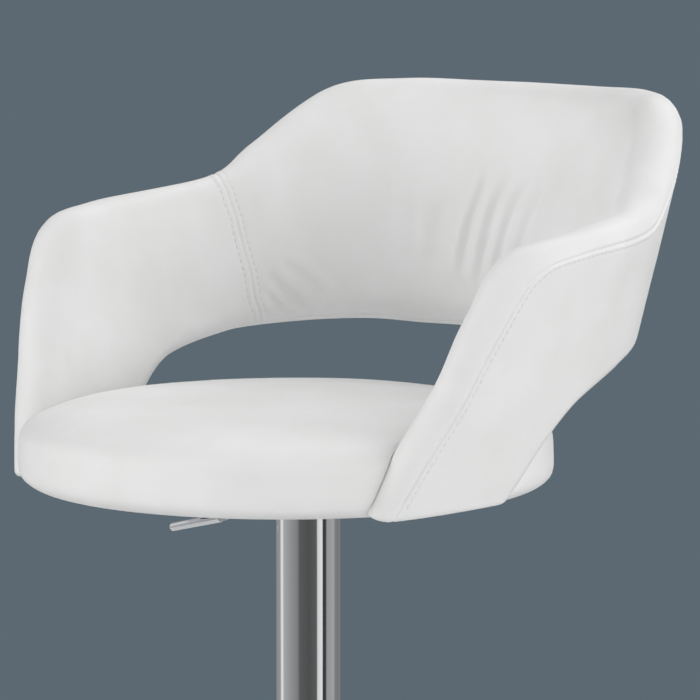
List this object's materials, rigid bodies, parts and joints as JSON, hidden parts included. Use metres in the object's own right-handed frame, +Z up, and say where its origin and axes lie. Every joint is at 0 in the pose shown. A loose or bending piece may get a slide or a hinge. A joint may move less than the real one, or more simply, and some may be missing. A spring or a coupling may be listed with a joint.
{
  "type": "adjustable swivel stool",
  "caption": "Gas-lift swivel bar stool: round padded seat, padded band wrapping round as back and arms, chrome column, hoop footrest and trumpet base.",
  "frame": {"origin": "on the floor, under the column's axis: the middle of the floor pad's flat underside", "axes": "+Z up along the column, the stool faces -Y, +X is the sitter's left; fully raised at rest"},
  "size_m": [0.5474, 0.5966, 1.0643],
  "materials": {
    "polished_chrome": "polished",
    "zinc_plated_steel": "satin",
    "black_painted_steel": "satin",
    "cast_iron": "matte",
    "brass": "satin",
    "black_rubber": "matte",
    "moulded_nylon": "satin",
    "closed_cell_foam": "matte",
    "white_leatherette": "satin",
    "plywood": "matte",
    "black_lining": "matte"
  },
  "bodies": {
    "base": {"floor_pad": "closed_cell_foam", "base_weight": "cast_iron", "base_shell": "polished_chrome", "base_trim_ring": "black_rubber", "column_flange": "zinc_plated_steel", "flange_bolt_1": "zinc_plated_steel", "flange_bolt_2": "zinc_plated_steel", "flange_bolt_3": "zinc_plated_steel", "flange_bolt_4": "zinc_plated_steel", "column_tube": "polished_chrome", "guide_bush": "moulded_nylon", "footrest_clamp": "polished_chrome", "footrest_bar": "polished_chrome", "footrest_screw": "zinc_plated_steel", "bearing_lower_race": "zinc_plated_steel"},
    "rod": {"piston_rod": "zinc_plated_steel", "rod_clip": "zinc_plated_steel", "bearing_upper_race": "zinc_plated_steel", "bearing_ball_ring": "brass", "bump_stop": "black_rubber"},
    "seat": {"gas_cylinder": "black_painted_steel", "cylinder_sleeve": "polished_chrome", "cylinder_socket": "black_painted_steel", "seat_plate": "black_painted_steel", "plate_bolt_1": "zinc_plated_steel", "plate_bolt_2": "zinc_plated_steel", "plate_bolt_3": "zinc_plated_steel", "plate_bolt_4": "zinc_plated_steel", "lever_bracket": "zinc_plated_steel", "lever_pin": "zinc_plated_steel", "seat_board": "plywood", "seat_lining": "black_lining", "seat_cushion": "white_leatherette", "band_core": "plywood", "band_inner_pad": "white_leatherette", "band_outer_pad": "white_leatherette", "arm_bracket_left": "black_painted_steel", "arm_bracket_right": "black_painted_steel", "arm_bolt_left_1": "zinc_plated_steel", "arm_bolt_left_2": "zinc_plated_steel", "arm_bolt_right_1": "zinc_plated_steel", "arm_bolt_right_2": "zinc_plated_steel", "board_bolt_left_1": "zinc_plated_steel", "board_bolt_left_2": "zinc_plated_steel", "board_bolt_right_1": "zinc_plated_steel", "board_bolt_right_2": "zinc_plated_steel"},
    "lever": {"lever_rod": "zinc_plated_steel", "lever_grip": "polished_chrome"},
    "valve": {"valve_button": "zinc_plated_steel"}
  },
  "joints": [
    {"name": "seat_swivel", "type": "hinge", "parent": "base", "child": "rod", "pos_m": [0, 0, 0.025], "axis": [0, 0, 1], "continuous": true},
    {"name": "height_slide", "type": "slide", "parent": "rod", "child": "seat", "axis": [0, 0, 1], "range_m": [-0.21, 0]},
    {"name": "lever_lift", "type": "hinge", "parent": "seat", "child": "lever", "pos_m": [-0.03, 0, 0.734], "axis": [0, 1, 0], "range_deg": [0, 5]},
    {"name": "valve_press", "type": "slide", "parent": "seat", "child": "valve", "axis": [0, 0, 1], "range_m": [-0.003, 0]}
  ],
  "couplings": [
    {"joint": "valve_press", "follows": "lever_lift", "m_per_rad": -0.0325}
  ]
}
